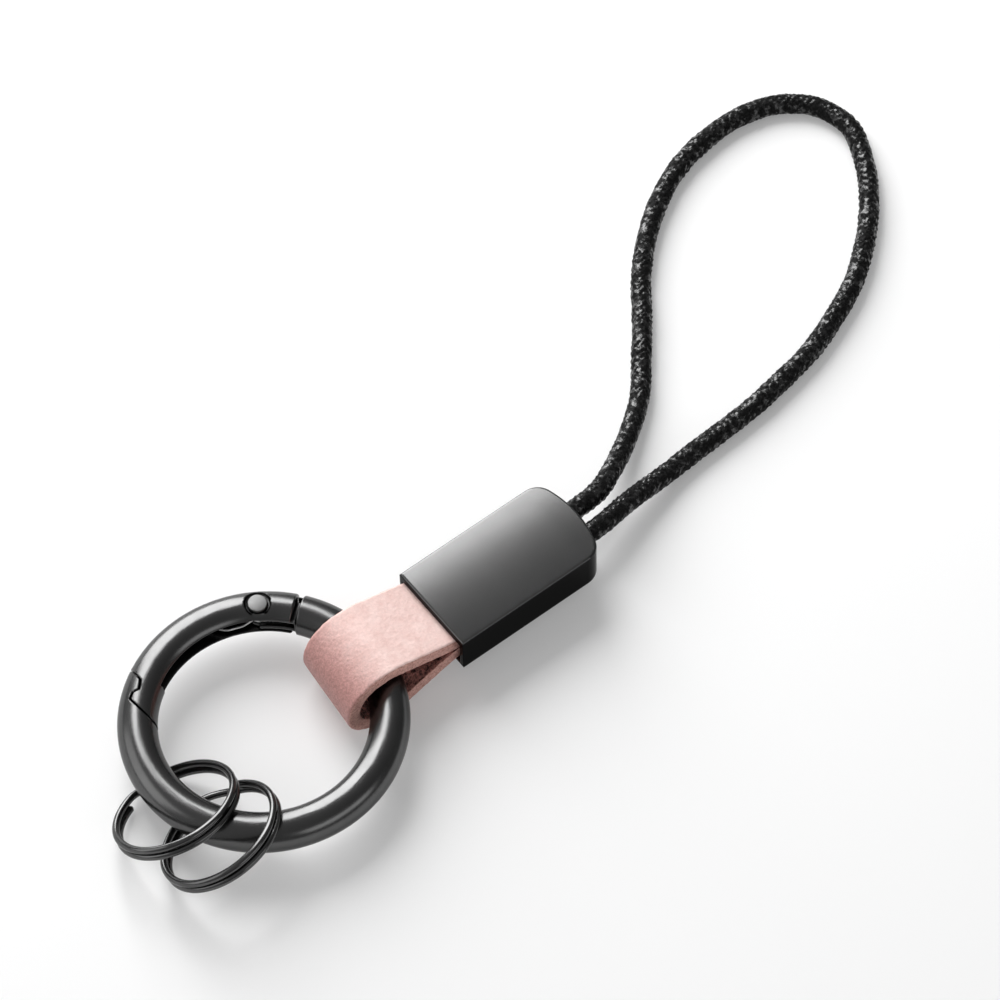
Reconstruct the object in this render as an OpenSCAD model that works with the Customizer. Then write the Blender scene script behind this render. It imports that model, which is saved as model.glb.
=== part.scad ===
// Key ring: a sprung-gate O-ring and two split rings, held by a folded leather strap in a
// metal clasp with a waxed cord wrist loop. It lies flat, as it would on a table, with the
// clasp held just above it by the strap and the cord.
// Origin: centre of the clasp's back face. +X towards the cord, +Z out of the front face.

/* [Clasp housing] */
// Wall beside the strap pocket
side_wall = 0.6; // [0.4:0.1:1.2]
// Wall at the front and at the back of the strap pocket
face_wall = 1.1; // [0.9:0.05:2]
// Wall at the cord end
end_wall = 2.5; // [1.5:0.1:4]
// Radius of the bowed cord end, seen from the front
end_bow_r = 15; // [13:1:40]
// Radius of the two corners at the cord end
corner_r = 2.5; // [1.5:0.1:3]
// Radius of the crisp edge round the front face
front_edge_r = 0.3; // [0.1:0.05:0.5]
// Radius of the softer edge round the back face
back_edge_r = 0.9; // [0.5:0.05:1]
// Diameter of the pin that holds the strap
strap_pin_d = 2; // [1.5:0.1:3]
// Distance of the strap pin from the mouth
strap_pin_in = 6; // [4:0.1:8]
// Depth of the strap pin's seat in the front wall
strap_pin_seat = 0.6; // [0.3:0.1:0.8]

/* [Leather strap] */
// Width of the strap
strap_w = 10.4; // [8:0.1:14]
// Thickness of the leather
leather_t = 1.9; // [1.5:0.05:2.2]
// Length of the strap ends inside the clasp
strap_tail = 11.5; // [9:0.5:16]
// Distance from the mouth to the centre of the strap loop
loop_reach = 9.4; // [9:0.1:14]
// Slack of the strap loop, past the ring
loop_slack = 1.1; // [0:0.1:2]
// Slit between the two layers of the strap
strap_slit = 0.1; // [0.05:0.05:0.3]
// Play of the strap at each side of its pocket
strap_play = 0.4; // [0.2:0.05:0.6]

/* [Main ring] */
// Radius of the ring's wire centreline
ring_r = 14.9; // [14.5:0.1:15.5]
// Diameter of the ring's wire
ring_wire_d = 4.8; // [4.6:0.1:5.2]
// Angle at which the ring crosses the strap, seen from above
ring_skew_a = 5; // [0:0.5:6]

/* [Gate] */
// Angle of the hinge pin round the ring
pivot_a = 56.3; // [54:0.1:60]
// Distance of the hinge pin inside the wire's centreline
pivot_inset = 0.1; // [0:0.05:0.3]
// Length of the gate behind the hinge pin, along the centreline
tail_l = 4.4; // [4:0.1:5]
// Gap between the gate's tail and the ring's shoulder
tail_gap = 0.7; // [0.5:0.05:1]
// Distance from the hinge pin to the outer seam of the hook
seam_reach = 17.1; // [16.8:0.1:17.4]
// Distance from the hinge pin to the end of the gate's hooked head
hook_reach = 19.5; // [19.2:0.1:19.8]
// Gap along the hook's seam
seam_gap = 0.12; // [0.08:0.02:0.16]
// Width of the channel inside the gate
channel_w = 2.4; // [2.2:0.1:2.6]
// Thickness of the gate's back, behind the channel
gate_back = 1.1; // [0.9:0.05:1.2]
// Distance from the hook's outer seam to the end of the channel
channel_stop = 0.8; // [0.5:0.1:2]
// Diameter of the hinge pin
pin_d = 1.4; // [1.2:0.05:1.5]
// Diameter of the hinge pin's heads
pin_head_d = 2.4; // [2:0.1:2.6]
// Diameter of the counterbores round the pin's heads
counterbore_d = 3.2; // [3:0.1:3.4]
// Depth of the counterbores
counterbore_h = 0.6; // [0.4:0.05:0.7]

/* [Gate spring] */
// Diameter of the spring's wire
spring_wire_d = 0.3; // [0.2:0.05:0.3]
// Number of turns in the spring
spring_turns = 2; // [2:1:2]
// Length of the leg that presses on the gate
spring_leg = 7.5; // [5:0.5:9]

/* [Split rings] */
// Radius of the split rings' wire centreline
split_r = 7.5; // [7:0.1:8]
// Diameter of the split rings' wire
split_wire_d = 0.9; // [0.8:0.05:1]
// Gap between the two turns of a split ring
turn_gap = 0.1; // [0.06:0.02:0.14]
// Angle over which the wire climbs from one turn to the other
climb_a = 40; // [30:5:60]
// Angle round the main ring at which the left split ring hangs
left_place_a = 192; // [191.8:0.1:192.2]
// Angle round the main ring at which the right split ring hangs
right_place_a = 215.6; // [215.4:0.1:216.4]
// Distance of the left split ring's centre outside the wire's centreline
left_out = 0.46; // [0.44:0.02:0.5]
// Distance of the right split ring's centre outside the wire's centreline
right_out = 1.1; // [1.06:0.02:1.2]
// Angle at which the left split ring leans
left_lean_a = 32.1; // [32:0.1:32.3]
// Angle at which the right split ring leans
right_lean_a = 34.2; // [34:0.1:34.4]
// Angle of the direction in which the left split ring slopes down
left_turn_a = 96.5; // [96:0.1:97]
// Angle of the direction in which the right split ring slopes down
right_turn_a = 112.8; // [112:0.2:113.4]
// Angle of the left split ring's wire ends from its lowest side
left_ends_a = -5; // [-10:1:5]
// Angle of the right split ring's wire ends from its lowest side
right_ends_a = -50; // [-55:1:-45]

/* [Cord] */
// Diameter of the waxed cord
cord_d = 2.5; // [2:0.1:2.6]
// Distance between the two cord exits
cord_exit_gap = 3.7; // [3.4:0.1:4.2]
// Length of the crimped ferrule that joins the cord's ends
crimp_l = 6; // [4:0.5:8]
// Wall of the ferrule outside the cord
crimp_wall = 0.5; // [0.3:0.05:0.5]
// Gap between the strap's ends and the ferrule
crimp_gap = 2; // [1:0.5:4]

/* [Fits] */
// Clearance round fixed pieces
fit = 0.05; // [0.02:0.01:0.1]
// Clearance round moving pieces
play = 0.1; // [0.08:0.01:0.12]
// Clearance between the ring and the strap loop it turns in
loop_play = 0.12; // [0.1:0.01:0.3]

/* [Hidden] */
$fn = 64;
overrun = 2;
turn = 360;
right_angle = 90;

// Clasp sizes that follow from the strap, the cord and the walls.
pocket_w = strap_w + 2 * strap_play;
pocket_h = 2 * leather_t + strap_slit + 2 * fit;
housing_w = pocket_w + 2 * side_wall;
housing_h = pocket_h + 2 * face_wall;
housing_l = strap_tail + crimp_gap + crimp_l + end_wall;
mouth_x = -housing_l / 2;
end_x = housing_l / 2;
mid_z = housing_h / 2;
pocket_end_x = end_x - end_wall;
bow_x = end_x - end_bow_r;
corner_y = housing_w / 2 - corner_r;
bow_corner_r = end_bow_r - corner_r;
corner_x = bow_x + sqrt(pow(bow_corner_r, 2) - pow(corner_y, 2));
corner_a = asin(corner_y / bow_corner_r);
strap_y = strap_play - 2 * fit;
strap_pin_x = mouth_x + strap_pin_in;
strap_pin_top = mid_z + pocket_h / 2 + strap_pin_seat;

// The strap loop is round about the line that the ring turns on, which lies square to the
// line from it to the ring's centre. The ring's wire is widest at the strap's two edges.
ring_wire_r = ring_wire_d / 2;
ring_out_r = ring_r + ring_wire_r;
ring_in_r = ring_r - ring_wire_r;
loop_edge = (strap_w / 2 + ring_wire_r * sin(ring_skew_a)) / cos(ring_skew_a);
ring_at_edge = sqrt(pow(ring_in_r, 2) - pow(loop_edge, 2));
loop_hollow_r = (ring_out_r - ring_at_edge) / 2 + loop_play;
loop_r = loop_hollow_r + leather_t;
loop_x = mouth_x - loop_reach;
layer_top = strap_slit / 2 + leather_t;
loop_to_ring = (ring_out_r + ring_at_edge) / 2;
table_z = mid_z - loop_r;

// The main ring's centre.
ring_x = loop_x - loop_to_ring * cos(ring_skew_a);
ring_y = strap_y + loop_to_ring * sin(ring_skew_a);
ring_z = mid_z;

// Gate and hinge, seen from above and measured from the ring's centre.
pivot_r = ring_r - pivot_inset;
pivot = [pivot_r * cos(pivot_a), pivot_r * sin(pivot_a)];
degrees_per_mm = turn / (2 * PI * ring_r);
tail_a = pivot_a - tail_l * degrees_per_mm;
shoulder_a = tail_a - tail_gap * degrees_per_mm;
channel_floor_r = ring_out_r - gate_back;
tongue_t = channel_w - 2 * play;
tongue_out_r = channel_floor_r - 2 * play;
tongue_in_r = ring_in_r + gate_back / 2;
tongue_root_a = shoulder_a - ring_wire_r * degrees_per_mm;
eye_r = channel_floor_r - pivot_r - play;
cheek_seat_z = ring_wire_r - counterbore_h;
pin_head_z = ring_wire_r - play;
// Corners of the fixed nose of the hook: how far past the outer seam each lies, and how far
// outside the wire's centreline.
nose_root_out = 0.37;
nose_tip_past = 0.92;
nose_tip_out = 0.13;
notch_past = 1.76;
notch_out = 0.85;
heel_out = 0.97;
channel_end_a = pivot_a + 2 * asin(seam_reach / (2 * ring_r)) - channel_stop * degrees_per_mm;

// Gate spring: a close coil round the pin between the prongs of the ring's tongue.
spring_r = pin_d / 2 + spring_wire_d;
spring_pitch = spring_wire_d + play / 2;
spring_slot_w = (spring_turns + 1) * spring_pitch + play;
spring_rise = spring_turns * spring_pitch;
spring_out_r = pivot_r + spring_r + spring_wire_d / 2 + play / 2;
spring_back_r = channel_floor_r - spring_wire_d / 2 - fit;
spring_slot_a = shoulder_a + play * degrees_per_mm;
spring_root_l = tail_l - spring_wire_d;
spring_ease_l = spring_leg / 2;
spring_leg_steps = 8;
spring_step_a = 22.5;
spring_sides = 6;

// Split rings: two turns of wire, leaning until they rest on the table.
split_pitch = split_wire_d + turn_gap;
split_end_gap_a = 2;
split_end_a = climb_a / 2 + split_end_gap_a;
split_total_a = 2 * turn - 2 * split_end_a;
function split_z(lean_a) = table_z + split_wire_d / 2 + split_r * sin(lean_a)
    + split_pitch / 2 * cos(lean_a);
split_steps = 84;
split_sides = 8;

// Cord route along its centreline, chosen by hand. It drops to the table and lies there.
cord_sides = 8;
exit_y = cord_exit_gap / 2;
crimp_h = pocket_h - 2 * fit;
crimp_w = cord_exit_gap + cord_d + 2 * crimp_wall;
cord_points = [
    [15.3, 2.3, 2.5], [18, 3.4, 1.7], [21.3, 5.3, 0.7], [24.8, 7.6, -0.1],
    [29.6, 11.3, -0.5], [33.6, 15.9, -0.6], [37.3, 20.5, -0.6], [41, 25.3, -0.6],
    [45.3, 29.6, -0.6], [50.1, 33.1, -0.6], [55.4, 35.7, -0.6], [60.9, 36.9, -0.6],
    [66.2, 37, -0.6], [71.1, 35.6, -0.6], [74.9, 32.3, -0.6], [76.3, 27.2, -0.6],
    [74.2, 21.5, -0.6], [70.7, 16.4, -0.6], [66.4, 12.1, -0.6], [61.5, 8.4, -0.6],
    [56.3, 5.8, -0.6], [50.9, 3.8, -0.6], [45.4, 2.6, -0.6], [39.6, 1.7, -0.6],
    [33.8, 1.3, -0.6], [29.1, 1, -0.5], [25.3, 0.5, -0.1], [21.1, -0.1, 0.9],
    [17.8, -0.8, 1.9], [14.7, -1.5, 2.7]
];

// A tube round a list of points: each ring stands square to the path's direction there.
function unit(v) = v / norm(v);
function along(p, i) = unit(p[min(i + 1, len(p) - 1)] - p[max(i - 1, 0)]);
function tube_ring(centre, direction, up, r, sides) =
    let (side = unit(cross(up, direction)), top = cross(direction, side))
    [for (k = [0 : sides - 1]) let (a = turn * (k + 0.5) / sides)
        centre + r * (cos(a) * side + sin(a) * top)];

module tube(p, r, sides, up) {
    rings = len(p);
    points = [for (i = [0 : rings - 1]) each tube_ring(p[i], along(p, i), up, r, sides)];
    walls = [for (i = [0 : rings - 2], k = [0 : sides - 1])
        let (a = i * sides + k, b = i * sides + (k + 1) % sides)
        each [[a, a + sides, b], [b, a + sides, b + sides]]];
    last = (rings - 1) * sides;
    caps = [for (k = [1 : sides - 2]) each
        [[0, k, k + 1], [last, last + k + 1, last + k]]];
    polyhedron(points, concat(walls, caps));
}

// Part of a ring made by turning a flat section round the Z axis between two angles.
module sweep(from_a, to_a) {
    rotate([0, 0, from_a]) rotate_extrude(angle = to_a - from_a) children();
}

// Section of the housing from its middle out to one side, with its two edge radii.
module housing_section(reach) {
    square([reach - back_edge_r, housing_h - front_edge_r]);
    translate([0, back_edge_r])
        square([reach, housing_h - back_edge_r - front_edge_r]);
    translate([0, housing_h / 2])
        square([reach - front_edge_r, housing_h / 2]);
    translate([reach - back_edge_r, back_edge_r])
        circle(back_edge_r);
    translate([reach - front_edge_r, housing_h - front_edge_r])
        circle(front_edge_r);
}

// The long straight part, from the mouth to where the corners begin.
module housing_straight() {
    intersection() {
        translate([mouth_x, 0, 0])
            rotate([right_angle, 0, right_angle])
                linear_extrude(corner_x - mouth_x)
                    for (side = [0, 1])
                        mirror([side, 0])
                            housing_section(housing_w / 2);
        translate([corner_x, housing_w / 2, 0])
            rotate([right_angle, 0, 0])
                mirror([1, 0, 0])
                    linear_extrude(housing_w)
                        housing_section(corner_x - mouth_x);
    }
}

// The bowed end with its two rounded corners, all with the same edge radii.
module housing_end() {
    translate([bow_x, 0, 0])
        sweep(-corner_a, corner_a)
            housing_section(end_bow_r);
    for (side = [0, 1])
        mirror([0, side, 0])
            translate([corner_x, corner_y, 0])
                sweep(0, right_angle + corner_a)
                    housing_section(corner_r);
}

module housing() color("dimgray") difference() {
    union() {
        housing_straight();
        housing_end();
    }
    translate([mouth_x - overrun, -pocket_w / 2, mid_z - pocket_h / 2])
        cube([pocket_end_x - mouth_x + overrun, pocket_w, pocket_h]);
    translate([strap_pin_x, 0, -overrun])
        cylinder(h = strap_pin_top + overrun, d = strap_pin_d + 2 * fit);
    for (y = [-exit_y, exit_y])
        translate([pocket_end_x - overrun, y, mid_z])
            rotate([0, right_angle, 0])
                cylinder(h = end_wall + 2 * overrun, d = cord_d + 2 * play);
}

// The strap loop seen from the side: round at the ring and at the bight, with two straight
// layers that end past the mouth, where the loop is cut. half is their height at the mouth.
module loop_outline(r, half) {
    lean_a = acos(r / norm([loop_reach, half])) + atan2(half, loop_reach);
    root = r * [cos(lean_a), sin(lean_a)];
    end = [loop_reach, half] + strap_w * unit([loop_reach, half] - root);
    for (x = [0, -loop_slack])
        translate([x, 0]) circle(r);
    translate([-loop_slack, -r]) square([loop_slack, 2 * r]);
    for (side = [0, 1])
        mirror([0, side])
            polygon([[0, 0], root, end, [end.x, 0]]);
}

// The loop's hollow: its tip is where the inner faces of the two layers meet.
module loop_hollow() {
    lean_a = acos(loop_r / norm([loop_reach, layer_top])) + atan2(layer_top, loop_reach);
    root = loop_hollow_r * [cos(lean_a), sin(lean_a)];
    for (x = [0, -loop_slack])
        translate([x, 0]) circle(loop_hollow_r);
    translate([-loop_slack, -loop_hollow_r]) square([loop_slack, 2 * loop_hollow_r]);
    polygon([[0, 0], [root.x, -root.y], [loop_hollow_r / cos(lean_a), 0], root]);
}

module leather_loop() intersection() {
    translate([loop_x, strap_y, mid_z])
        rotate([right_angle, 0, -ring_skew_a])
            linear_extrude(3 * strap_w, center = true)
                difference() {
                    loop_outline(loop_r, layer_top);
                    loop_hollow();
                    translate([0, -strap_slit / 2])
                        square([2 * loop_reach, strap_slit]);
                }
    translate([mouth_x - strap_tail - 2 * loop_reach, strap_y - strap_w / 2, table_z])
        cube([strap_tail + 2 * loop_reach, strap_w, 2 * loop_r]);
}

module leather_tail() difference() {
    translate([mouth_x - fit, strap_y - strap_w / 2, mid_z - layer_top])
        cube([strap_tail + fit, strap_w, 2 * layer_top]);
    translate([mouth_x - overrun, strap_y - strap_w, mid_z - strap_slit / 2])
        cube([strap_tail + 2 * overrun, 2 * strap_w, strap_slit]);
}

module leather_strap() color("lightpink") difference() {
    union() {
        leather_loop();
        leather_tail();
    }
    translate([strap_pin_x, 0, 0])
        cylinder(h = housing_h, d = strap_pin_d + 2 * fit);
}

module strap_pin() color("gray")
    translate([strap_pin_x, 0, 0])
        cylinder(h = strap_pin_top - fit, d = strap_pin_d);

module cord_crimp() color("silver") difference() {
    translate([pocket_end_x - crimp_l, 0, mid_z])
        rotate([right_angle, 0, right_angle])
            linear_extrude(crimp_l - fit) {
                square([crimp_w - crimp_h, crimp_h], center = true);
                for (y = [-1, 1])
                    translate([y * (crimp_w - crimp_h) / 2, 0])
                        circle(d = crimp_h);
            }
    for (y = [-exit_y, exit_y])
        translate([pocket_end_x - crimp_l - overrun, y, mid_z])
            rotate([0, right_angle, 0])
                cylinder(h = crimp_l + 2 * overrun, d = cord_d + 2 * fit);
}

module cord_loop() color("black") {
    start_x = pocket_end_x - crimp_l;
    tube(concat(
        [[start_x, exit_y, mid_z], [end_x + cord_d / 2, exit_y, mid_z]],
        cord_points,
        [[end_x + cord_d / 2, -exit_y, mid_z], [start_x, -exit_y, mid_z]]
    ), cord_d / 2, cord_sides, [0, 0, 1]);
}

module at_ring() {
    translate([ring_x, ring_y, ring_z]) children();
}

module at_pivot() {
    translate([pivot.x, pivot.y, 0]) children();
}

module wire_section() {
    translate([ring_r, 0]) circle(ring_wire_r);
}

// A place on the ring seen from above, measured from the pin: reach is its distance from the
// pin, and out its distance outside the wire's centreline.
function hook_at(reach, out) =
    let (r = ring_r + out,
        a = pivot_a + acos((r * r + pivot_r * pivot_r - reach * reach) / (2 * r * pivot_r)))
    r * [cos(a), sin(a)] - pivot;

// Outline of the fixed nose, outside the arc of the outer seam.
module nose_outline() difference() {
    polygon([
        hook_at(seam_reach - overrun, ring_wire_r + overrun),
        hook_at(seam_reach - overrun, nose_root_out),
        hook_at(seam_reach, nose_root_out),
        hook_at(seam_reach + nose_tip_past, nose_tip_out),
        hook_at(seam_reach + notch_past, notch_out),
        hook_at(hook_reach, heel_out),
        hook_at(hook_reach + overrun, heel_out),
        hook_at(hook_reach + overrun, ring_wire_r + overrun)
    ]);
    circle(seam_reach);
}

// The gate as seen from above, between its tail and its hooked head.
module gate_outline(from_a, gap) {
    far = 2 * ring_r;
    intersection() {
        polygon([[0, 0], far * [cos(from_a), sin(from_a)], [far, far], [0, far], [-far, far],
            [-far, 0]]);
        translate(pivot) difference() {
            circle(hook_reach + gap);
            translate((seam_gap - gap) * [1, -1]) nose_outline();
        }
    }
}

module gate_prism(from_a, gap) {
    translate([0, 0, -ring_wire_r - overrun])
        linear_extrude(ring_wire_d + 2 * overrun)
            gate_outline(from_a, gap);
}

// The tongue that carries the hinge pin: two prongs with the spring between them.
module tongue() difference() {
    union() {
        sweep(tongue_root_a, pivot_a)
            translate([tongue_in_r, -tongue_t / 2])
                square([tongue_out_r - tongue_in_r, tongue_t]);
        at_pivot()
            translate([0, 0, -tongue_t / 2])
                cylinder(h = tongue_t, r = eye_r);
    }
    sweep(spring_slot_a, 2 * pivot_a - spring_slot_a)
        translate([tongue_in_r - overrun, -spring_slot_w / 2])
            square([spring_out_r - tongue_in_r + overrun, spring_slot_w]);
}

module ring_body() color("slategray") at_ring() difference() {
    union() {
        difference() {
            rotate_extrude() wire_section();
            gate_prism(shoulder_a, seam_gap);
        }
        tongue();
    }
    at_pivot()
        translate([0, 0, -tongue_t])
            cylinder(h = 2 * tongue_t, d = pin_d + fit);
}

module hinge_pin() color("darkgray") at_ring() at_pivot() {
    translate([0, 0, -pin_head_z])
        cylinder(h = 2 * pin_head_z, d = pin_d);
    for (side = [0, 1])
        mirror([0, 0, side])
            translate([0, 0, cheek_seat_z + play / 2])
                cylinder(h = pin_head_z - cheek_seat_z - play / 2, d = pin_head_d);
}

module ring_gate() color("slategray") at_ring() difference() {
    intersection() {
        rotate_extrude() wire_section();
        gate_prism(tail_a, 0);
    }
    sweep(shoulder_a, channel_end_a)
        translate([0, -channel_w / 2])
            square([channel_floor_r, channel_w]);
    at_pivot() {
        translate([0, 0, -ring_wire_r - overrun])
            cylinder(h = ring_wire_d + 2 * overrun, d = pin_d + 2 * fit);
        for (side = [0, 1])
            mirror([0, 0, side])
                translate([0, 0, cheek_seat_z])
                    cylinder(h = counterbore_h + overrun, d = counterbore_d);
    }
}

// The spring's wire, measured from the ring's centre: a short leg in the tongue's slot, the
// coil round the pin, and a leg that eases out to the gate's back and follows it.
function spring_coil(s) = [
    pivot.x + spring_r * cos(pivot_a + s), pivot.y + spring_r * sin(pivot_a + s),
    spring_rise * (s / (spring_turns * turn) - 1 / 2)
];
function spring_root_at(share) =
    let (r = pivot_r + spring_r, a = pivot_a - share * spring_root_l * degrees_per_mm)
    [r * cos(a), r * sin(a), -spring_rise / 2];
function spring_leg_at(share) =
    let (run = share * spring_leg, ease = min(1, run / spring_ease_l),
        r = pivot_r + spring_r + (spring_back_r - pivot_r - spring_r) * ease * ease,
        a = pivot_a + run * degrees_per_mm)
    [r * cos(a), r * sin(a), spring_rise / 2];

module gate_spring() color("silver") at_ring() {
    tube(concat(
        [for (share = [1, 0.5]) spring_root_at(share)],
        [for (s = [0 : spring_step_a : spring_turns * turn]) spring_coil(s)],
        [for (i = [1 : spring_leg_steps]) spring_leg_at(i / spring_leg_steps)]
    ), spring_wire_d / 2, spring_sides, [0, 0, 1]);
}

// A split ring's wire: two flat turns joined by a climb, measured from its centre.
function climb_share(a) = let (s = min(1, max(0, (a - turn) / climb_a + 1 / 2)))
    s * s * (3 - 2 * s);
function split_at(a) =
    [split_r * cos(a), split_r * sin(a), split_pitch * (climb_share(a) - 1 / 2)];

module split_ring(place_a, out, lean_a, turn_a, ends_a) color("dimgray")
    translate([ring_x, ring_y, split_z(lean_a)]
        + (ring_r + out) * [cos(place_a), sin(place_a), 0])
        rotate([0, lean_a, turn_a])
            rotate([0, 0, ends_a])
                tube([for (i = [0 : split_steps])
                    split_at(split_end_a + split_total_a * i / split_steps)],
                    split_wire_d / 2, split_sides, [0, 0, 1]);

module split_ring_left()
    split_ring(left_place_a, left_out, left_lean_a, left_turn_a, left_ends_a);
module split_ring_right()
    split_ring(right_place_a, right_out, right_lean_a, right_turn_a, right_ends_a);

housing();
leather_strap();
strap_pin();
cord_crimp();
cord_loop();
ring_body();
hinge_pin();
gate_spring();
ring_gate();
split_ring_left();
split_ring_right();
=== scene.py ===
"""Key ring on a pale studio table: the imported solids, dressed with fine surfaces and finishes.

Lengths are written in millimetres, in the part's own frame, and MM turns them into metres.
"""
import math

import bmesh
import bpy
import numpy as np
from mathutils import Matrix, Vector


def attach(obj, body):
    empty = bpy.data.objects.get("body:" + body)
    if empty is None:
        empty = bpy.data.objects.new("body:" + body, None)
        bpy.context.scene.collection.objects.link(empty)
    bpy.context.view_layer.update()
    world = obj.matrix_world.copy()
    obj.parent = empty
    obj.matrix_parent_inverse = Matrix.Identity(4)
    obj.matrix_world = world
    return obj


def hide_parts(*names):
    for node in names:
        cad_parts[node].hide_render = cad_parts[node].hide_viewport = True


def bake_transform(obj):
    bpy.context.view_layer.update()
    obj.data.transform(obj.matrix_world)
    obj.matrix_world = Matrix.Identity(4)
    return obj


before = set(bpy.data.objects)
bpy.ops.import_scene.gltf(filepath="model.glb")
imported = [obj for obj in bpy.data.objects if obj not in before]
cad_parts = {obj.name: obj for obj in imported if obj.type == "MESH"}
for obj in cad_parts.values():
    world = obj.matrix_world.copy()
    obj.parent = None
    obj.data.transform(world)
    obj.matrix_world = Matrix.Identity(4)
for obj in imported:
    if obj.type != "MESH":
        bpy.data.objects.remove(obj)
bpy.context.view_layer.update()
MM = 0.001

# Sizes shared with the part's source, and what follows from them.
MID_Z = 3.1
STRAP_W = 10.4
LEATHER_T = 1.9
STRAP_Y = 0.3
MOUTH_X = -11.0
LOOP_X = -20.4
LOOP_HOLLOW_R = 3.14
LOOP_SLACK = 1.1
RING_SKEW = math.radians(5)
RING_CENTRE = np.array([-34.6252, 1.54454, 3.1])
RING_R = 14.9
RING_WIRE_R = 2.4
PIN_R = 14.8
PIN_ANGLE = math.radians(56.3)
PIN_WAY = np.array([math.cos(PIN_ANGLE), math.sin(PIN_ANGLE), 0])
PIN_AT = RING_CENTRE + PIN_R * PIN_WAY
TABLE_Z = -1.94046
SPLIT_R = 7.5
SPLIT_WIRE_D = 0.9
SPLIT_PITCH = 1.0
SPLIT_POINTS = 340
CORD_D = 2.5
CORD_EXIT_Y = 1.85
CORD_HOLE_R = 1.35
POCKET_END_X = 8.5
CLASP_END_X = 11.0

# The camera of the photograph, found by fitting the solids to it.
CAMERA_AT = np.array([-177.9, -245.4, 510.5])
CAMERA_TO = np.array([6.96, 10.05, 0.0])
CAMERA_ROLL = math.radians(2)
CAMERA_LENS_MM = 177.57

# The cord's route: the same points as in the part's source.
CORD_POINTS = [
    (15.3, 2.3, 2.5), (18, 3.4, 1.7), (21.3, 5.3, 0.7), (24.8, 7.6, -0.1),
    (29.6, 11.3, -0.5), (33.6, 15.9, -0.6), (37.3, 20.5, -0.6), (41, 25.3, -0.6),
    (45.3, 29.6, -0.6), (50.1, 33.1, -0.6), (55.4, 35.7, -0.6), (60.9, 36.9, -0.6),
    (66.2, 37, -0.6), (71.1, 35.6, -0.6), (74.9, 32.3, -0.6), (76.3, 27.2, -0.6),
    (74.2, 21.5, -0.6), (70.7, 16.4, -0.6), (66.4, 12.1, -0.6), (61.5, 8.4, -0.6),
    (56.3, 5.8, -0.6), (50.9, 3.8, -0.6), (45.4, 2.6, -0.6), (39.6, 1.7, -0.6),
    (33.8, 1.3, -0.6), (29.1, 1, -0.5), (25.3, 0.5, -0.1), (21.1, -0.1, 0.9),
    (17.8, -0.8, 1.9), (14.7, -1.5, 2.7),
]


# Shapes

def unit(vectors):
    """Each vector divided by its own length."""
    return vectors / np.linalg.norm(vectors, axis=-1, keepdims=True)


def smooth_step(x, low, high):
    """0 below low, 1 above high, and 3t^2 - 2t^3 of the share t between them."""
    t = np.clip((x - low) / (high - low), 0, 1)
    return t * t * (3 - 2 * t)


def run_along(line):
    """How far along a line each of its points is, from 0 at the first."""
    return np.append(0, np.cumsum(np.linalg.norm(np.diff(line, axis=0), axis=1)))


def smooth_line(points, step):
    """A Catmull-Rom curve through the points, then points along it an even step apart."""
    p = np.asarray(points, float)
    p = np.vstack([2 * p[0] - p[1], p, 2 * p[-1] - p[-2]])
    a, b, c, d = (p[k:len(p) - 3 + k, None] for k in range(4))
    t = np.linspace(0, 1, 24, endpoint=False)[None, :, None]
    curve = b + t * (c - a) / 2 + t ** 2 * (a - 2.5 * b + 2 * c - d / 2)
    curve = curve + t ** 3 * (1.5 * (b - c) + (d - a) / 2)
    curve = np.vstack([curve.reshape(-1, p.shape[1]), p[-2]])
    run = run_along(curve)
    even = np.linspace(0, run[-1], int(round(run[-1] / step)) + 1)
    return np.stack([np.interp(even, run, curve[:, k]) for k in range(p.shape[1])], 1)


def value_noise(u, v, seed):
    """Smooth noise from -1 to 1: random heights on whole numbers of u and v, eased between."""
    heights = np.random.default_rng(seed).uniform(-1, 1, (256, 256))
    i, j = np.floor(u).astype(int), np.floor(v).astype(int)
    s, t = smooth_step(u - i, 0, 1), smooth_step(v - j, 0, 1)
    near = heights[i % 256, j % 256] * (1 - s) + heights[(i + 1) % 256, j % 256] * s
    far = heights[i % 256, (j + 1) % 256] * (1 - s) + heights[(i + 1) % 256, (j + 1) % 256] * s
    return near * (1 - t) + far * t


def grid_mesh(name, grid, finish_of=None):
    """A closed skin over a grid of points in millimetres: rows run along the piece, and the
    columns go round it. Each end is closed by one face. finish_of gives each column's
    material."""
    rows, columns = grid.shape[:2]
    i, j = np.meshgrid(np.arange(rows - 1), np.arange(columns), indexing="ij")
    k = (j + 1) % columns
    quads = np.stack([i * columns + j, i * columns + k, (i + 1) * columns + k,
                      (i + 1) * columns + j], -1).reshape(-1, 4)
    corner = grid.reshape(-1, 3)[quads] - grid.mean((0, 1))
    volume = np.einsum("ij,ij->", corner[:, 0], np.cross(corner[:, 1], corner[:, 2]))
    volume += np.einsum("ij,ij->", corner[:, 0], np.cross(corner[:, 2], corner[:, 3]))
    turn = slice(None) if volume > 0 else slice(None, None, -1)
    faces = quads[:, turn].tolist()
    faces.append(list(range(columns))[::-1][turn])
    faces.append([(rows - 1) * columns + n for n in range(columns)][turn])
    mesh = bpy.data.meshes.new(name)
    mesh.from_pydata((grid.reshape(-1, 3) * MM).tolist(), [], faces)
    mesh.polygons.foreach_set("use_smooth", np.ones(len(faces), bool))
    if finish_of is not None:
        finish = np.zeros(len(faces), int)
        finish[:len(quads)] = np.tile(finish_of, rows - 1)
        mesh.polygons.foreach_set("material_index", finish)
    mesh.update()
    piece = bpy.data.objects.new(name, mesh)
    bpy.context.collection.objects.link(piece)
    return piece


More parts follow.
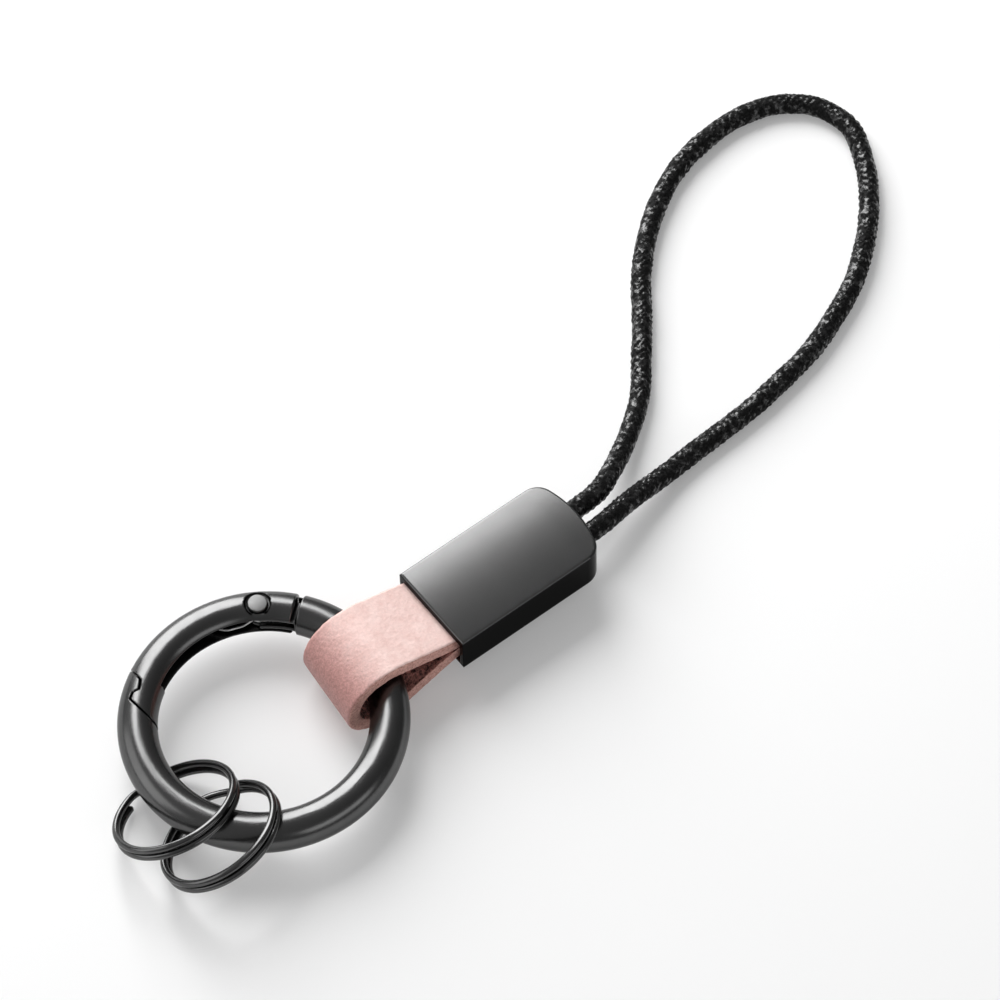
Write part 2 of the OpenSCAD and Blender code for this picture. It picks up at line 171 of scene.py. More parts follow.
def tube_grid(line, radius, sides):
    """Circles of the given radius, square to a line at each of its points, with their first
    point level with the line. The radius may be one number or an array with a row for each
    point and a column for each side."""
    direction = unit(np.gradient(line, axis=0))
    side = unit(np.cross([0, 0, 1.0], direction))
    top = np.cross(direction, side)
    a = 2 * np.pi * np.arange(sides) / sides
    out = np.cos(a)[None, :, None] * side[:, None] + np.sin(a)[None, :, None] * top[:, None]
    radius = np.broadcast_to(radius, (len(line), sides))
    return line[:, None] + radius[..., None] * out


def on_table(grid):
    """The same grid with its lowest points pressed flat, a hair over the table top."""
    lowest = [-np.inf, -np.inf, TABLE_Z + 0.004]
    return np.maximum(grid, lowest)


def strap_line():
    """Centre of the leather seen from the side, from the end of the front layer round the
    ring to the end of the back layer: straight in the clasp, straight to the loop, half a
    circle with a short flat for the slack, and the same again mirrored, eased where they
    join. Gives x and the height over the ring's axis."""
    r = LOOP_HOLLOW_R + LEATHER_T / 2
    reach = MOUTH_X - LOOP_X
    half = 0.05 + LEATHER_T / 2
    lean = math.acos(r / math.hypot(reach, half)) + math.atan2(half, reach)
    arc = np.linspace(lean, np.pi / 2, 12)
    back = np.linspace(np.pi / 2, np.pi, 24)
    x = np.concatenate([[0.5, MOUTH_X], LOOP_X + r * np.cos(arc),
                        LOOP_X - LOOP_SLACK + r * np.cos(back)])
    z = np.concatenate([[half, half], r * np.sin(arc), r * np.sin(back)])
    x, z = np.append(x, x[-2::-1]), np.append(z, -z[-2::-1])
    run = np.append(0, np.cumsum(np.hypot(np.diff(x), np.diff(z))))
    even = np.linspace(0, run[-1], 420)
    line = np.stack([np.interp(even, run, x), np.interp(even, run, z)], 1)
    kernel = np.hanning(9) / np.hanning(9).sum()
    wide = np.pad(line, ((4, 4), (0, 0)), mode="reflect", reflect_type="odd")
    return np.stack([np.convolve(wide[:, k], kernel, mode="valid") for k in range(2)], 1)


def strap_section():
    """Outline of the leather's cut end, as places across its width and through its
    thickness: two long faces and two short ones, joined by small rounds. Gives also each
    column's finish: 0 the grained face, 1 the cut edge and 2 the suede face."""
    w, t, r = STRAP_W / 2, LEATHER_T / 2, 0.32
    across = np.linspace(-w + r, w - r, 70)
    down = np.linspace(t - r, -t + r, 9)[1:-1]
    turn = np.radians(np.linspace(0, 90, 5))
    corner = np.stack([np.sin(turn), np.cos(turn)], 1) * r
    top = np.stack([across, np.full(70, t)], 1)
    front = np.vstack([corner[1:] + [w - r, t - r], np.stack([np.full(7, w), down], 1),
                       (corner * [1, -1])[:0:-1] + [w - r, r - t]])
    half = np.vstack([top, front])
    finish = np.repeat([0, 1, 2, 2, 1, 0], [71, 12, 2, 71, 12, 2])
    return np.vstack([half, -half]), finish


def leather_grid():
    """The leather's skin: its section carried along the strap line. The loop leans round the
    ring, so past the mouth x shifts with y. The suede and the cut edges are roughened, and
    the grained face swells softly."""
    line = strap_line()
    section, finish = strap_section()
    direction = unit(np.gradient(line, axis=0))
    out = np.stack([-direction[:, 1], direction[:, 0]], 1) * -1
    s = run_along(line)[:, None]
    w, t = (np.repeat(section[None, :, k], len(line), 0) for k in range(2))
    in_loop = smooth_step(-line[:, 0], -MOUTH_X, -MOUTH_X + 2)[:, None]
    raw = np.clip(1 - 2.2 * (t + LEATHER_T / 2) / LEATHER_T, 0, 1)
    fuzz = value_noise(s / 0.28, w / 0.28, 3) + 0.6 * value_noise(s / 0.13, w / 0.13, 4)
    edge = np.abs(section[None, :, 0]) > STRAP_W / 2 - 0.2
    rough = value_noise(s / 0.5, t / 0.3 + np.sign(w) * 40, 5)
    t = t + in_loop * raw * 0.08 * fuzz * ~edge
    w = w + np.sign(w) * in_loop * edge * (0.045 * rough - 0.05 * raw)
    t = t + in_loop * 0.04 * value_noise(s / 3.1, w / 3.7, 6) * (1 - raw)
    shear = np.tan(RING_SKEW) * in_loop
    x = line[:, :1] + out[:, :1] * t + shear * w
    z = line[:, 1:] + out[:, 1:] * t
    return on_table(np.stack([x, STRAP_Y + w, MID_Z + z], -1)), finish


def cord_line():
    """Centreline of the cord from one end in the ferrule to the other, every 0.14 mm."""
    start = POCKET_END_X - 6
    ends = [(x, y, MID_Z) for x, y in
            ((start, CORD_EXIT_Y), (7, CORD_EXIT_Y), (CLASP_END_X + 1.25, CORD_EXIT_Y))]
    back = [(x, -y, z) for x, y, z in ends[::-1]]
    return smooth_line(ends + CORD_POINTS + back, 0.14)


def braid_height(turns, run, strands, pitch):
    """Height of a round diamond braid from 0 to 1. Two families of strands wind opposite
    ways, each ridge a squared cosine across its strand, and they pass over and under in
    turn where both numbers' whole parts add up to even."""
    a = strands * turns + run / pitch
    b = strands * turns - run / pitch
    over = np.cos(np.pi * (a - np.floor(a) - 0.5)) * np.cos(np.pi * (b - np.floor(b) - 0.5))
    first = (np.floor(a) + np.floor(b)) % 2 == 0
    across = np.where(first, a, b)
    ridge = np.cos(np.pi * (across - np.floor(across) - 0.5)) ** 2
    return ridge * (0.35 + 0.65 * np.abs(over))


def cord_grid(line):
    """The cord's skin: a tube whose radius follows the braid. The strands wander a little,
    and wax fills the braid more in some places than in others. The clasp's holes hold the
    strands in."""
    sides = 60
    run = run_along(line)[:, None]
    turns = (np.arange(sides) / sides)[None, :]
    wander = 0.3 * value_noise(run / 0.9, turns * 6, 8)
    height = braid_height(turns, run + wander, 8, 0.98)
    wax = 0.5 + 0.5 * value_noise(run / 2.2, turns * 3, 11)
    radius = CORD_D / 2 - 0.03 + 0.17 * height * (1 - 0.8 * wax)
    radius = radius + 0.035 * value_noise(run / 0.9, turns * 7, 9)
    radius = radius + 0.02 * value_noise(run / 0.35, turns * 16, 12)
    widest = np.where(line[:, :1] < CLASP_END_X + 0.3, CORD_HOLE_R - 0.01, np.inf)
    radius = np.minimum(radius, widest)
    return on_table(tube_grid(line, radius, sides))


def split_ring_grid(place, out, lean, turn, ends):
    """A split ring's wire: two flat turns joined by a climb over 40 degrees, leaning until
    it rests on the table, with rounded wire ends. Its centre is at the angle place round
    the main ring and out millimetres beyond that wire's centre. It leans by the angle lean
    towards the angle turn, and ends turns its wire ends round it. Angles are in degrees."""
    a = np.linspace(22, 698, SPLIT_POINTS)
    share = smooth_step(a, 340, 380)
    angle = np.radians(a)
    wire = np.stack([SPLIT_R * np.cos(angle), SPLIT_R * np.sin(angle),
                     SPLIT_PITCH * (share - 0.5)], 1)
    place, lean, turn, ends = np.radians([place, lean, turn, ends])
    rest_z = TABLE_Z + SPLIT_WIRE_D / 2 + SPLIT_R * math.sin(lean)
    rest_z += SPLIT_PITCH / 2 * math.cos(lean)
    reach = RING_R + out
    centre = (RING_CENTRE[0] + reach * math.cos(place), RING_CENTRE[1] + reach * math.sin(place))
    stand = (Matrix.Translation((*centre, rest_z)) @ Matrix.Rotation(turn, 4, "Z")
             @ Matrix.Rotation(lean, 4, "Y") @ Matrix.Rotation(ends, 4, "Z"))
    stand = np.array(stand)
    number = np.arange(SPLIT_POINTS)
    from_end = np.minimum(number, number[::-1]) * 0.26
    radius = SPLIT_WIRE_D / 2 * np.sqrt(1 - np.clip(1 - from_end / 0.3, 0, 1) ** 2 * 0.75)
    grid = tube_grid(wire, radius[:, None], 20)
    return grid @ stand[:3, :3].T + stand[:3, 3]


def spring_grid():
    """The gate spring's wire: a short leg in the tongue's slot, two turns round the pin and
    a leg that leaves on the inner side, shows in the channel's opening and then eases out
    to the gate's back."""
    coil_r, rise, open_r, back_r = 1.0, 0.7, 13.15, 16.0
    share = np.linspace(1, 0, 12, endpoint=False)
    a = PIN_ANGLE - share * 4.1 / RING_R
    root = np.stack([(PIN_R - coil_r) * np.cos(a), (PIN_R - coil_r) * np.sin(a),
                     np.full(12, -rise / 2)], 1)
    s = np.linspace(0, 4 * np.pi, 120)
    coil = PIN_R * PIN_WAY + np.stack([-coil_r * np.cos(PIN_ANGLE - s),
                                       -coil_r * np.sin(PIN_ANGLE - s),
                                       rise * (s / (4 * np.pi) - 0.5)], 1)
    run = np.linspace(0, 8.5, 50)[1:]
    r = PIN_R - coil_r + (open_r - PIN_R + coil_r) * smooth_step(run, 0, 2.5)
    r = r + (back_r - open_r) * smooth_step(run, 4, 8.5)
    a = PIN_ANGLE + run / RING_R
    leg = np.stack([r * np.cos(a), r * np.sin(a), rise / 2 * (1 - smooth_step(run, 0, 3))], 1)
    line = np.vstack([root, coil, leg]) + RING_CENTRE
    return tube_grid(line, 0.15, 10)


def rivet_grid():
    """The hinge pin as a turned shape: a shank between two low domed heads. Its profile is
    radius against height, turned about the pin's axis."""
    a = np.radians(np.linspace(0, 90, 10))
    head_r = 1.2 - 0.12 + 0.12 * np.sin(a)
    head_z = 2.12 + 0.12 * np.cos(a)
    inner = np.linspace(0.02, 1.0, 8)
    dome_z = 2.24 + 0.05 * (1 - (inner / 1.08) ** 2)
    r = np.concatenate([inner, head_r, [1.2, 1.2, 0.7, 0.7]])
    z = np.concatenate([dome_z, head_z, [2.1, 1.86, 1.86, 1.8]])
    r, z = np.append(r, r[::-1]), np.append(z, -z[::-1])
    turn = -2 * np.pi * np.arange(48) / 48
    return PIN_AT + np.stack([r[:, None] * np.cos(turn), r[:, None] * np.sin(turn),
                              np.broadcast_to(z[:, None], (len(r), 48))], -1)


def shoulder_lip_grid():
    """A low lip on the ring's shoulder that closes the outer part of the gap behind the
    gate: a slice of a thinner wire, between the shoulder and the gate's tail."""
    lip_r, inner = 2.05, 1.5
    half = math.acos(inner / lip_r)
    arc = np.linspace(-half, half, 13)
    flat = np.linspace(lip_r * math.sin(half), -lip_r * math.sin(half), 7)[1:-1]
    out = RING_R + np.append(lip_r * np.cos(arc), np.full(5, inner))
    z = np.append(lip_r * np.sin(arc), flat)
    a = PIN_ANGLE - np.linspace(5.4, 4.5, 6)[:, None] / RING_R
    z = np.broadcast_to(z, (6, len(z)))
    return RING_CENTRE + np.stack([out * np.cos(a), out * np.sin(a), z], -1)


def set_wire_normals(mesh):
    """Gives each corner on the ring wire's own surface the true normal of a torus, straight
    away from the wire's centreline, so that reflections run smoothly into the rounded
    edges. Corners elsewhere keep the normals that Blender finds."""
    place = np.array([vertex.co for vertex in mesh.vertices]) / MM - RING_CENTRE
    reach = np.hypot(place[:, 0], place[:, 1])
    away = place * (1 - RING_R / reach[:, None] * [1, 1, 0])
    on_wire = np.abs(np.linalg.norm(away, axis=1) - RING_WIRE_R) < 0.05
    away = unit(away)
    corner_normals = np.zeros((len(mesh.loops), 3))
    smooth = np.zeros(len(place), bool)
    for face in mesh.polygons:
        corners = list(face.vertices)
        facing = away[corners] @ np.array(face.normal)
        if on_wire[corners].all() and (facing > 0.985).all():
            smooth[corners] = True
    for face in mesh.polygons:
        corners = np.array(face.vertices)
        facing = away[corners] @ np.array(face.normal)
        take = smooth[corners] & (facing > 0.5)
        loops = np.array(face.loop_indices)[take]
        corner_normals[loops] = away[corners[take]]
    mesh.normals_split_custom_set(corner_normals.tolist())


def rounded_copy(node, edge_mm, extra=None):
    """A copy of one of the ring's solids whose sharp edges are rounded to edge_mm, as
    casting, tumbling and plating leave them. Its triangles are joined and flat ones merged,
    and extra is a closed grid of points that is added to it."""
    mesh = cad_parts[node].data.copy()
    shape = bmesh.new()
    shape.from_mesh(mesh)
    bmesh.ops.remove_doubles(shape, verts=shape.verts, dist=0.001 * MM)
    bmesh.ops.dissolve_limit(shape, angle_limit=math.radians(0.6), verts=shape.verts,
                             edges=shape.edges)
    crisp = [edge for edge in shape.edges
             if len(edge.link_faces) == 2 and edge.calc_face_angle() > math.radians(35)]
    bmesh.ops.bevel(shape, geom=crisp, offset=edge_mm * MM, segments=3, profile=0.5,
                    affect="EDGES", clamp_overlap=False)
    if extra is not None:
        columns = extra.shape[1]
        rows = [[shape.verts.new(point * MM) for point in row] for row in extra]
        for low, high in zip(rows, rows[1:]):
            for j in range(columns):
                k = (j + 1) % columns
                shape.faces.new((low[j], high[j], high[k], low[k]))
        shape.faces.new(rows[0])
        shape.faces.new(rows[-1][::-1])
    bmesh.ops.recalc_face_normals(shape, faces=shape.faces)
    shape.to_mesh(mesh)
    shape.free()
    if "custom_normal" in mesh.attributes:
        mesh.attributes.remove(mesh.attributes["custom_normal"])
    mesh.polygons.foreach_set("use_smooth", np.ones(len(mesh.polygons), bool))
    mesh.set_sharp_from_angle(angle=math.radians(60))
    set_wire_normals(mesh)
    piece = bpy.data.objects.new(node + "_rounded", mesh)
    bpy.context.collection.objects.link(piece)
    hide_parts(node)
    return piece


# Finishes

def linear(hex_colour):
    """An sRGB hex colour as the linear colour that a shader takes."""
    value = np.array([int(hex_colour[k:k + 2], 16) / 255 for k in (1, 3, 5)])
    value = np.where(value <= 0.04045, value / 12.92, ((value + 0.055) / 1.055) ** 2.4)
    return (*value.tolist(), 1.0)


def add_node(tree, kind, settings=None, values=None, links=None):
    """Adds one node with its settings, its sockets' values and the links into it."""
    node = tree.nodes.new(kind)
    for name, value in (settings or {}).items():
        setattr(node, name, value)
    for name, value in (values or {}).items():
        node.inputs[name].default_value = value
    for name, socket in (links or {}).items():
        tree.links.new(socket, node.inputs[name])
    return node


def new_material(name, values):
    """A material with one Principled shader, its sockets' values set. Gives both."""
    material = bpy.data.materials.new(name)
    material.use_nodes = True
    shader = material.node_tree.nodes["Principled BSDF"]
    for socket, value in values.items():
        shader.inputs[socket].default_value = value
    return material, material.node_tree, shader


def plated_metal(name, colour, colour_low, rough_low, rough_high, grain_mm, depth_mm,
                 edge_mm=0.0, painted_shade_side_colour=None, painted_crevice_shade_mm=0.0):
    """Electroplated metal: a fine tumbled grain in its polish, with cloudier patches where
    handling has dulled it. The grain also lifts the surface a little, and edge_mm softens
    the shading of sharp edges as plating and tumbling round them. The side colour is
    painted shade: upright faces get a darker base colour and a dimmer reflection tint, so
    that they look shaded. The crevice length in millimetres is how far out of a gap painted
    shade darkens the colour."""
    glance_tint = linear("#E4E4E4")
    material, tree, shader = new_material(name, {"Metallic": 1.0, "Specular Tint": glance_tint})
    place = add_node(tree, "ShaderNodeTexCoord").outputs["Object"]
    cloud = add_node(tree, "ShaderNodeTexNoise", values={
        "Scale": 1 / (3.5 * MM), "Detail": 3.0, "Roughness": 0.6}, links={"Vector": place})
    grain = add_node(tree, "ShaderNodeTexNoise", values={
        "Scale": 1 / (grain_mm * MM), "Detail": 4.0, "Roughness": 0.65}, links={"Vector": place})
    tone = add_node(tree, "ShaderNodeValToRGB", links={"Fac": cloud.outputs["Fac"]})
    tone.color_ramp.elements[0].position = 0.3
    tone.color_ramp.elements[1].position = 0.7
    tone.color_ramp.elements[0].color = linear(colour_low)
    tone.color_ramp.elements[1].color = linear(colour)
    rough = add_node(tree, "ShaderNodeMapRange", values={
        "From Min": 0.35, "From Max": 0.65, "To Min": rough_low, "To Max": rough_high},
        links={"Value": grain.outputs["Fac"]})
    bump = add_node(tree, "ShaderNodeBump", values={
        "Strength": 1.0, "Distance": depth_mm * MM}, links={"Height": grain.outputs["Fac"]})
    if edge_mm:
        rounded = add_node(tree, "ShaderNodeBevel", {"samples": 6}, {"Radius": edge_mm * MM})
        tree.links.new(rounded.outputs["Normal"], bump.inputs["Normal"])
    colour = tone.outputs["Color"]
    # Painted shade: upright faces get a darker base colour and a dimmer reflection tint, so the
    # sides look shaded.
    if painted_shade_side_colour:
        facing = add_node(tree, "ShaderNodeTexCoord").outputs["Normal"]
        split = add_node(tree, "ShaderNodeSeparateXYZ", links={"Vector": facing})
        upright = add_node(tree, "ShaderNodeMath", {"operation": "ABSOLUTE"},
                           links={0: split.outputs["Z"]})
        colour = add_node(tree, "ShaderNodeMix", {"data_type": "RGBA"}, {
            "A": linear(painted_shade_side_colour)}, {"Factor": upright.outputs["Value"],
                                        "B": colour}).outputs["Result"]
        glance = add_node(tree, "ShaderNodeMix", {"data_type": "RGBA"}, {
            "A": linear("#C6C6C6"), "B": glance_tint}, {"Factor": upright.outputs["Value"]})
        tree.links.new(glance.outputs["Result"], shader.inputs["Specular Tint"])
    # Painted shade: ambient occlusion darkens the base colour in gaps and seams.
    if painted_crevice_shade_mm:
        open_sky = add_node(tree, "ShaderNodeAmbientOcclusion", {"samples": 8}, {
            "Distance": painted_crevice_shade_mm * MM})
        crevice_shade_factor = add_node(tree, "ShaderNodeMapRange", values={
            "From Min": 0.45, "From Max": 0.9, "To Min": 0.03, "To Max": 1.0},
            links={"Value": open_sky.outputs["AO"]})
        colour = add_node(tree, "ShaderNodeVectorMath", {"operation": "SCALE"}, links={
            "Vector": colour, "Scale": crevice_shade_factor.outputs["Result"]}).outputs["Vector"]
    tree.links.new(colour, shader.inputs["Base Color"])
    tree.links.new(rough.outputs["Result"], shader.inputs["Roughness"])
    tree.links.new(bump.outputs["Normal"], shader.inputs["Normal"])
    return material


def grained_leather():
    """Aniline-dyed cowhide, the finished face: a fine pebbled grain of about 0.5 mm with tiny
    pale and dark speckles, a soft sheen, and a rosier, darker tone where the loop bends and
    low down towards the table: partly the stretched leather's own tone, partly painted shade."""
    material, tree, shader = new_material("grained_leather", {
        "Roughness": 0.62, "Specular IOR Level": 0.35, "Sheen Weight": 0.12})
    place = add_node(tree, "ShaderNodeTexCoord").outputs["Object"]
    pebble = add_node(tree, "ShaderNodeTexVoronoi", {"feature": "SMOOTH_F1"}, {
        "Scale": 1 / (0.55 * MM), "Smoothness": 0.6}, {"Vector": place})
    pores = add_node(tree, "ShaderNodeTexNoise", values={
        "Scale": 1 / (0.3 * MM), "Detail": 6.0, "Roughness": 0.7}, links={"Vector": place})
    cloud = add_node(tree, "ShaderNodeTexNoise", values={
        "Scale": 1 / (1.6 * MM), "Detail": 4.0, "Roughness": 0.6}, links={"Vector": place})
    split = add_node(tree, "ShaderNodeSeparateXYZ", links={"Vector": place})
    # Painted shade, partly a real stretched-leather tone: the bent loop and the low parts turn
    # rosier and darker.
    bent = add_node(tree, "ShaderNodeMapRange", {"interpolation_type": "SMOOTHSTEP"}, {
        "From Min": -19.5 * MM, "From Max": -26 * MM}, {"Value": split.outputs["X"]})
    under = add_node(tree, "ShaderNodeMapRange", {"interpolation_type": "SMOOTHSTEP"}, {
        "From Min": 4.5 * MM, "From Max": 0.5 * MM}, {"Value": split.outputs["Z"]})
    stretch_tone_and_shade = add_node(tree, "ShaderNodeMath", {"operation": "MAXIMUM"}, links={
        0: bent.outputs["Result"], 1: under.outputs["Result"]})
    flat = add_node(tree, "ShaderNodeMix", {"data_type": "RGBA"}, {
        "A": linear("#DDB4AC"), "B": linear("#FBE2DC")}, {"Factor": cloud.outputs["Fac"]})
    rosy = add_node(tree, "ShaderNodeMix", {"data_type": "RGBA"}, {
        "B": linear("#BC8A84")}, {"Factor": stretch_tone_and_shade.outputs["Value"], "A": flat.outputs["Result"]})
    dark = add_node(tree, "ShaderNodeMapRange", values={"To Min": 0.93, "To Max": 0.74},
                    links={"Value": stretch_tone_and_shade.outputs["Value"]})
    pale = add_node(tree, "ShaderNodeMapRange", values={"To Min": 1.05, "To Max": 1.2},
                    links={"Value": stretch_tone_and_shade.outputs["Value"]})
    speck = add_node(tree, "ShaderNodeMapRange", values={"From Min": 0.34, "From Max": 0.66},
                     links={"Value": pores.outputs["Fac"], "To Min": dark.outputs["Result"],
                            "To Max": pale.outputs["Result"]})
    colour = add_node(tree, "ShaderNodeVectorMath", {"operation": "SCALE"}, links={
        "Vector": rosy.outputs["Result"], "Scale": speck.outputs["Result"]})
    height = add_node(tree, "ShaderNodeMath", {"operation": "MULTIPLY_ADD"}, {1: 0.6}, {
        0: pebble.outputs["Distance"], 2: pores.outputs["Fac"]})
    bump = add_node(tree, "ShaderNodeBump", values={
        "Strength": 1.0, "Distance": 0.07 * MM}, links={"Height": height.outputs["Value"]})
    tree.links.new(colour.outputs["Vector"], shader.inputs["Base Color"])
    tree.links.new(bump.outputs["Normal"], shader.inputs["Normal"])
    return material


def raw_leather(name, pale, dark, size_mm, depth_mm):
    """Raw leather fibre, on the cut edge or the suede side: matt, with pale fibre tips over
    darker gaps, and no gloss."""
    material, tree, shader = new_material(name, {
        "Roughness": 0.95, "Specular IOR Level": 0.15, "Sheen Weight": 0.1})
    place = add_node(tree, "ShaderNodeTexCoord").outputs["Object"]
    fibre = add_node(tree, "ShaderNodeTexNoise", values={
        "Scale": 1 / (size_mm * MM), "Detail": 6.0, "Roughness": 0.75}, links={"Vector": place})
    tone = add_node(tree, "ShaderNodeValToRGB", links={"Fac": fibre.outputs["Fac"]})
    tone.color_ramp.elements[0].position = 0.38
    tone.color_ramp.elements[1].position = 0.66
    tone.color_ramp.elements[0].color = linear(dark)
    tone.color_ramp.elements[1].color = linear(pale)
    bump = add_node(tree, "ShaderNodeBump", values={
        "Strength": 1.0, "Distance": depth_mm * MM}, links={"Height": fibre.outputs["Fac"]})
    tree.links.new(tone.outputs["Color"], shader.inputs["Base Color"])
    tree.links.new(bump.outputs["Normal"], shader.inputs["Normal"])
    return material


def waxed_cotton():
    """Waxed cotton braid: black yarn with wax in patches that glint on the strands' crowns,
    and matt where the wax has rubbed off or the braid is deep."""
    material, tree, shader = new_material("waxed_cotton_braid", {})
    place = add_node(tree, "ShaderNodeTexCoord").outputs["Object"]
    yarn = add_node(tree, "ShaderNodeTexNoise", values={
        "Scale": 1 / (0.2 * MM), "Detail": 5.0, "Roughness": 0.7}, links={"Vector": place})
    wax = add_node(tree, "ShaderNodeTexNoise", values={
        "Scale": 1 / (0.75 * MM), "Detail": 3.0, "Roughness": 0.6}, links={"Vector": place})
    tone = add_node(tree, "ShaderNodeValToRGB", links={"Fac": yarn.outputs["Fac"]})
    tone.color_ramp.elements[0].position = 0.4
    tone.color_ramp.elements[1].position = 0.72
    tone.color_ramp.elements[0].color = linear("#0C0C0C")
    tone.color_ramp.elements[1].color = linear("#262626")
    crown = add_node(tree, "ShaderNodeAmbientOcclusion", {"samples": 8}, {
        "Distance": 0.35 * MM})
    raised = add_node(tree, "ShaderNodeMapRange", values={
        "From Min": 0.6, "From Max": 0.95}, links={"Value": crown.outputs["AO"]})
    patch = add_node(tree, "ShaderNodeMapRange", values={
        "From Min": 0.5, "From Max": 0.62, "To Min": 0.03, "To Max": 0.72},
        links={"Value": wax.outputs["Fac"]})
    gloss = add_node(tree, "ShaderNodeMath", {"operation": "MULTIPLY"}, links={
        0: raised.outputs["Result"], 1: patch.outputs["Result"]})
    rough = add_node(tree, "ShaderNodeMapRange", values={
        "From Min": 0.4, "From Max": 0.65, "To Min": 0.35, "To Max": 0.14},
        links={"Value": wax.outputs["Fac"]})
    bump = add_node(tree, "ShaderNodeBump", values={
        "Strength": 1.0, "Distance": 0.03 * MM}, links={"Height": yarn.outputs["Fac"]})
    tree.links.new(tone.outputs["Color"], shader.inputs["Base Color"])
    tree.links.new(gloss.outputs["Value"], shader.inputs["Specular IOR Level"])
    tree.links.new(rough.outputs["Result"], shader.inputs["Roughness"])
    tree.links.new(bump.outputs["Normal"], shader.inputs["Normal"])
    return material


def dress(piece, *materials):
    """Gives a piece these materials in place of any that it has."""
    if len(piece.data.materials):
        piece.data.materials.clear()
    for material in materials:
        piece.data.materials.append(material)


# Camera

def aim_camera():
    """Stands the camera where the photograph was taken, rolled by its small tilt."""
    forward = unit(CAMERA_TO - CAMERA_AT)
    level = unit(np.cross(forward, [0, 0, 1]))
    rise = np.cross(level, forward)
    right = math.cos(CAMERA_ROLL) * level - math.sin(CAMERA_ROLL) * rise
    top = math.sin(CAMERA_ROLL) * level + math.cos(CAMERA_ROLL) * rise
    camera = bpy.data.objects.new("camera", bpy.data.cameras.new("camera"))
    bpy.context.collection.objects.link(camera)
    turn = Matrix(np.stack([right, top, -forward], 1).tolist()).to_4x4()
    camera.matrix_world = Matrix.Translation(Vector(CAMERA_AT * MM)) @ turn
    camera.data.lens = CAMERA_LENS_MM
    camera.data.sensor_width = 36
    camera.data.clip_start = 0.01
    bpy.context.scene.camera = camera


aim_camera()

# Cord
cord_black = waxed_cotton()
cord_centre = cord_line()
cord = grid_mesh("wrist_cord", cord_grid(cord_centre))
dress(cord, cord_black)
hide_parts("cord_loop")
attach(cord, "clasp")

# Leather strap
grid, finish = leather_grid()
strap = grid_mesh("folded_strap", grid, finish_of=finish)
dress(strap, grained_leather(),
      raw_leather("cut_leather_edge", "#EFC1B5", "#B98379", 0.3, 0.06),
      raw_leather("suede_side", "#E29A8E", "#2A0A08", 0.5, 0.35))
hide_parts("leather_strap")
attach(strap, "clasp")

# Split rings, spring and hinge pin
black_nickel = plated_metal("black_nickel_wire", "#5C5C5C", "#4E4E4E", 0.16, 0.2, 0.25, 0.0006)
for name, numbers, body in (
        ("split_ring_left", (192, 0.46, 32.1, 96.5, -5), "left_split_ring"),
        ("split_ring_right", (215.6, 1.1, 34.2, 112.8, -50), "right_split_ring")):
    wire = grid_mesh(name + "_wire", split_ring_grid(*numbers))
    dress(wire, black_nickel)
    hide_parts(name)
    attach(wire, body)

spring_steel = plated_metal("drawn_spring_steel", "#D0D0D0", "#B4B4B4", 0.22, 0.35, 0.1, 0.002)
spring = grid_mesh("gate_spring_wire", spring_grid())
dress(spring, spring_steel)
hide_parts("gate_spring")
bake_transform(spring)

rivet_steel = plated_metal("plated_rivet_steel", "#5E5E5E", "#525252", 0.3, 0.4, 0.18, 0.002,
                           edge_mm=0.1)
rivet = grid_mesh("hinge_rivet", rivet_grid())
dress(rivet, rivet_steel)
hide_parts("hinge_pin")
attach(rivet, "main_ring")

# The ring's two solids with rounded edges, and the solids that stay
# The ring's plate carries painted shade in its gaps and seams.
ring_metal = plated_metal("satin_gunmetal_plate", "#5C5C5C", "#565656", 0.23, 0.26, 0.15, 0.0002,
                          painted_crevice_shade_mm=0.5)
# The clasp's upright sides carry painted shade: a near-black side colour.
clasp_metal = plated_metal("polished_gunmetal_plate", "#5A5A5A", "#575757", 0.075, 0.08, 0.2,
                           0.00003, edge_mm=0.14, painted_shade_side_colour="#181818")
ferrule_metal = plated_metal("crimped_aluminium", "#C8C8CA", "#B4B4B6", 0.3, 0.45, 0.3, 0.01)
for node, body, extra in (("ring_body", "main_ring", shoulder_lip_grid()),
                          ("ring_gate", "gate", None)):
    solid = rounded_copy(node, 0.22, extra)
    dress(solid, ring_metal)
    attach(solid, body)
for node, metal in (("housing", clasp_metal), ("strap_pin", rivet_steel),
                    ("cord_crimp", ferrule_metal)):
    dress(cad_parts[node], metal)


# Studio

def soft_lamp(name, toward, distance_mm, slide_mm, size_mm, watts):
    """A square soft lamp that faces the clasp from a direction, slid in its own plane by
    two lengths: to its left and up, as seen from the clasp with +Z up."""
    data = bpy.data.lights.new(name, "AREA")
    data.shape = "RECTANGLE"
    data.size, data.size_y = size_mm[0] * MM, size_mm[1] * MM
    data.energy = watts
    toward = unit(np.array(toward, float))
    left = unit(np.cross([0, 0, 1], toward))
    rise = np.cross(toward, left)
    place = distance_mm * toward + slide_mm[0] * left + slide_mm[1] * rise
    lamp = bpy.data.objects.new(name, data)
    bpy.context.collection.objects.link(lamp)
    turn = Matrix(np.stack([-left, rise, toward], 1).tolist()).to_4x4()
    lamp.matrix_world = Matrix.Translation(Vector(place * MM)) @ turn


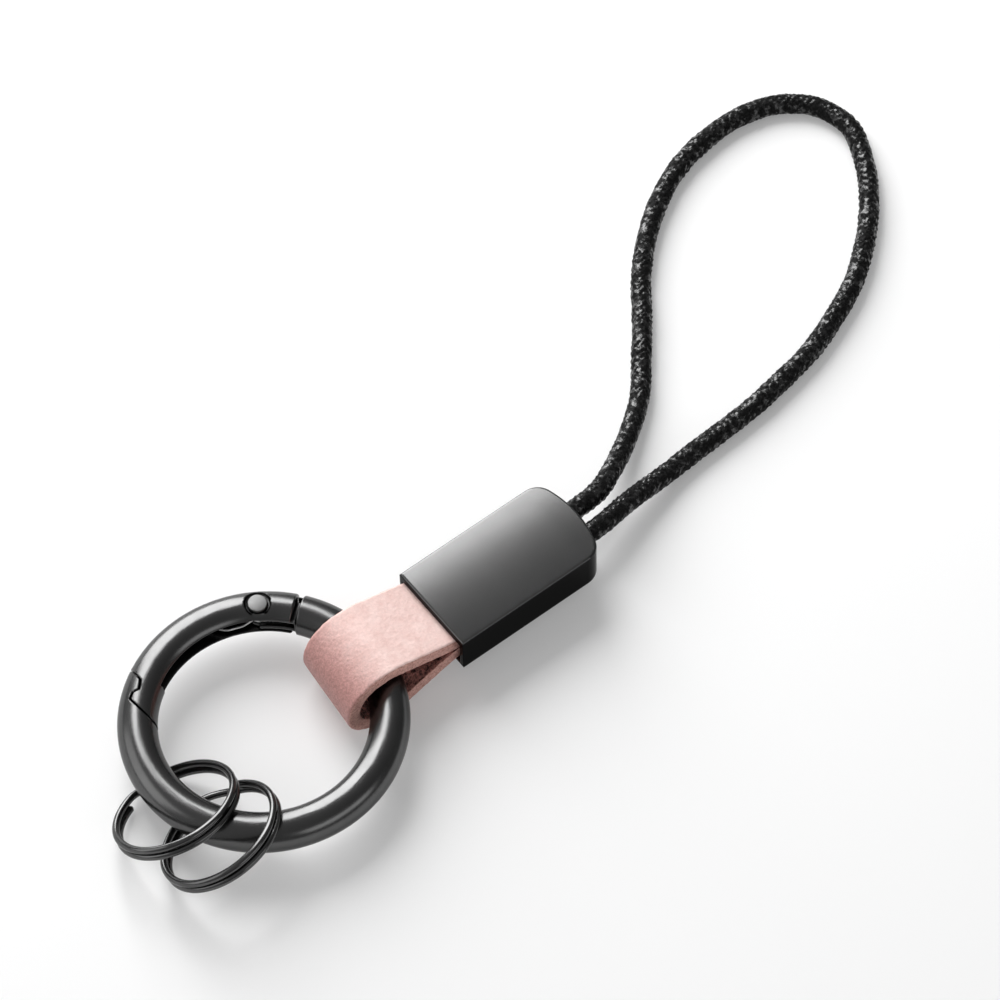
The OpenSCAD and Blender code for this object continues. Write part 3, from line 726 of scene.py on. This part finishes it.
def pale_table():
    """A wide pale table top, just under the strap, the split rings and the cord."""
    half = 6.0
    mesh = bpy.data.meshes.new("table_top")
    z = TABLE_Z * MM
    mesh.from_pydata([(-half, -half, z), (half, -half, z), (half, half, z), (-half, half, z)],
                     [], [(0, 1, 2, 3)])
    table = bpy.data.objects.new("table_top", mesh)
    bpy.context.collection.objects.link(table)
    material, tree, shader = new_material("pale_table", {
        "Base Color": linear("#F4F4F4"), "Roughness": 0.8, "Specular IOR Level": 0.2})
    ray = add_node(tree, "ShaderNodeLightPath")
    seen = add_node(tree, "ShaderNodeMath", {"operation": "MAXIMUM"},
                    links={0: ray.outputs["Is Camera Ray"], 1: ray.outputs["Is Glossy Ray"]})
    shown = add_node(tree, "ShaderNodeMath", {"operation": "MAXIMUM"},
                     links={0: seen.outputs["Value"], 1: ray.outputs["Is Transmission Ray"]})
    share = add_node(tree, "ShaderNodeMath", {"operation": "MULTIPLY"}, {1: 0.2},
                     {0: shown.outputs["Value"]})
    white = add_node(tree, "ShaderNodeEmission", values={"Color": linear("#FFFFFF")})
    both = add_node(tree, "ShaderNodeMixShader", links={
        "Fac": share.outputs["Value"], 1: shader.outputs["BSDF"], 2: white.outputs["Emission"]})
    tree.links.new(both.outputs["Shader"], tree.nodes["Material Output"].inputs["Surface"])
    dress(table, material)


def studio_world():
    """A plain grey room, lighter on the side that the light comes from."""
    world = bpy.data.worlds.new("studio")
    bpy.context.scene.world = world
    world.use_nodes = True
    tree = world.node_tree
    way = add_node(tree, "ShaderNodeTexCoord").outputs["Generated"]
    side = add_node(tree, "ShaderNodeVectorMath", {"operation": "DOT_PRODUCT"},
                    {1: (-0.6, 0.75, 0.25)}, {0: way})
    grey = add_node(tree, "ShaderNodeMapRange", {"interpolation_type": "SMOOTHSTEP"}, {
        "From Min": -0.8, "From Max": 0.9, "To Min": 0.16, "To Max": 0.42},
        {"Value": side.outputs["Value"]})
    background = tree.nodes["Background"]
    tree.links.new(grey.outputs["Result"], background.inputs["Color"])
    background.inputs["Strength"].default_value = 1.0


pale_table()
studio_world()
soft_lamp("back_softbox", (0, 0.8, 0.6), 450, (-80, -14), (270, 480), 3.2)
soft_lamp("left_softbox", (-0.75, 0.5, 0.45), 450, (0, 0), (340, 300), 0.45)
soft_lamp("front_fill", (0.1, -0.88, 0.46), 450, (0, 0), (380, 150), 0.28)

bpy.context.scene.view_settings.view_transform = "Standard"
